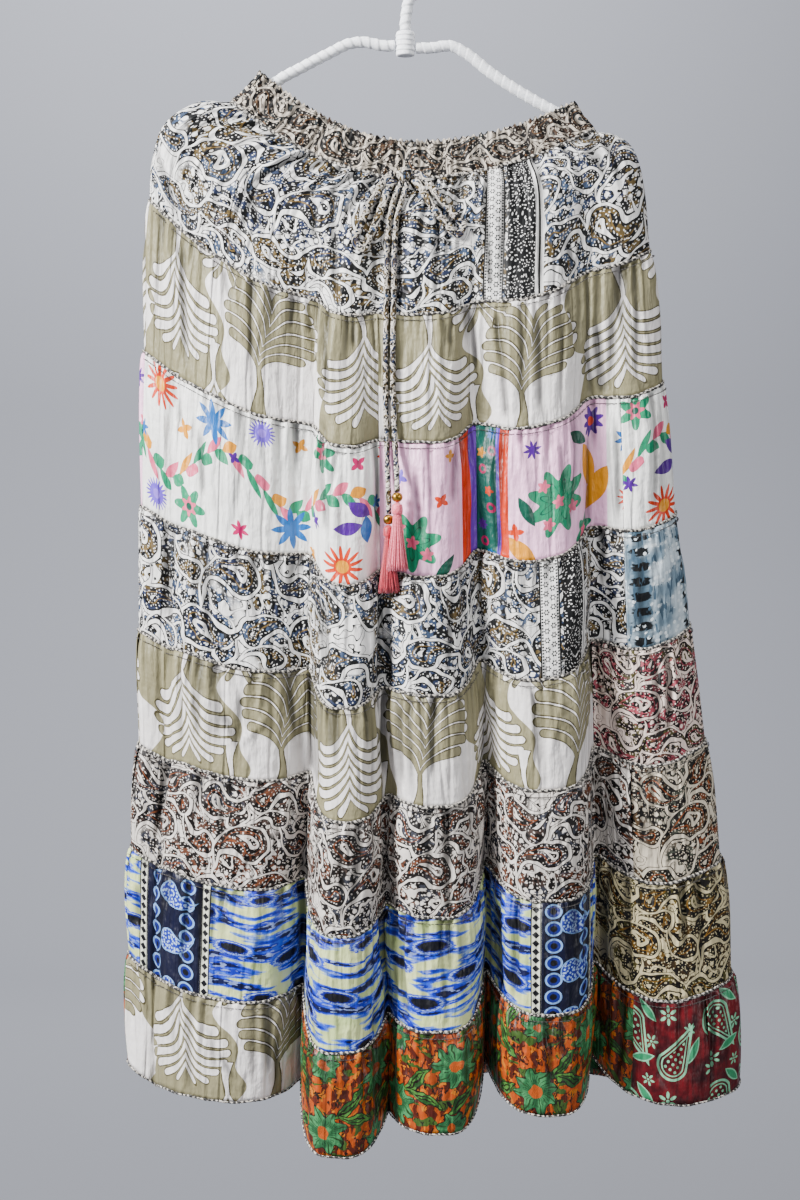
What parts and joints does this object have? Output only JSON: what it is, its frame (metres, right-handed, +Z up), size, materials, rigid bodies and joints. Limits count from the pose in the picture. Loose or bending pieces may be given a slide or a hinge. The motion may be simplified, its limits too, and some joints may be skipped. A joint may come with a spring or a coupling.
{
  "type": "ruffle skirt on hanger",
  "caption": "Long patchwork skirt in gathered tiers with an elastic drawstring waist and tassels, hung on a wire hanger by its waistband.",
  "frame": {"origin": "inside of the top of the hanger's hook, where a rail carries it", "axes": "+Z up, -Y out of the skirt's front, +X to the right as the front is looked at"},
  "size_m": [0.5711, 0.1849, 1.1089],
  "materials": {
    "band_cloth": "fine brown and cream paisley, shirred",
    "paisley_cloth": "soft viscose, black and white paisley",
    "leaf_cloth": "satin viscose, khaki and white fronds",
    "motif_cloth": "satin viscose, bright motifs on white",
    "pink_motif_cloth": "satin viscose, bright motifs on pink",
    "tie_dye_cloth": "satin viscose, grey-blue tie-dye",
    "pink_paisley_cloth": "soft viscose, pink and brown paisley",
    "brown_paisley_cloth": "soft viscose, brown paisley",
    "tan_paisley_cloth": "soft viscose, tan and brown paisley",
    "ikat_cloth": "satin viscose, blue ikat bands",
    "ochre_paisley_cloth": "soft viscose, ochre paisley",
    "orange_flower_cloth": "silky satin, orange and green flowers",
    "red_flower_cloth": "silky satin, red with mint flowers",
    "hanger_tape": "white cotton tape wound on wire",
    "bead_metal": "worn gilt",
    "coral_thread": "silky thread",
    "red_thread": "silky thread"
  },
  "bodies": {
    "root": {"waistband_front": "band_cloth", "waistband_back": "band_cloth", "tier_1_front": "paisley_cloth", "tier_1_back": "paisley_cloth", "tier_2_front_left": "leaf_cloth", "tier_2_front_right": "leaf_cloth", "tier_2_back": "leaf_cloth", "tier_3_front_left": "motif_cloth", "tier_3_front_pink": "pink_motif_cloth", "tier_3_front_right": "motif_cloth", "tier_3_back_right": "motif_cloth", "tier_3_back_left": "pink_motif_cloth", "tier_4_front": "paisley_cloth", "tier_4_front_right": "tie_dye_cloth", "tier_4_back": "paisley_cloth", "tier_5_front": "leaf_cloth", "tier_5_front_right": "pink_paisley_cloth", "tier_5_back": "leaf_cloth", "tier_6_front": "brown_paisley_cloth", "tier_6_front_right": "tan_paisley_cloth", "tier_6_back": "brown_paisley_cloth", "tier_7_front": "ikat_cloth", "tier_7_front_right": "ochre_paisley_cloth", "tier_7_back": "ikat_cloth", "tier_8_front_left": "leaf_cloth", "tier_8_front_middle": "orange_flower_cloth", "tier_8_front_right": "red_flower_cloth", "tier_8_back": "orange_flower_cloth", "hanger_hook": "hanger_tape", "hanger_neck": "hanger_tape", "hanger_arm_left": "hanger_tape", "hanger_arm_right": "hanger_tape", "drawstring_knot": "paisley_cloth", "drawstring_loop_left": "paisley_cloth", "drawstring_loop_right": "paisley_cloth", "drawstring_tail_first": "paisley_cloth", "bead_first": "bead_metal", "tassel_first": "coral_thread", "drawstring_tail_second": "paisley_cloth", "bead_second": "bead_metal", "tassel_second": "red_thread"}
  },
  "joints": []
}
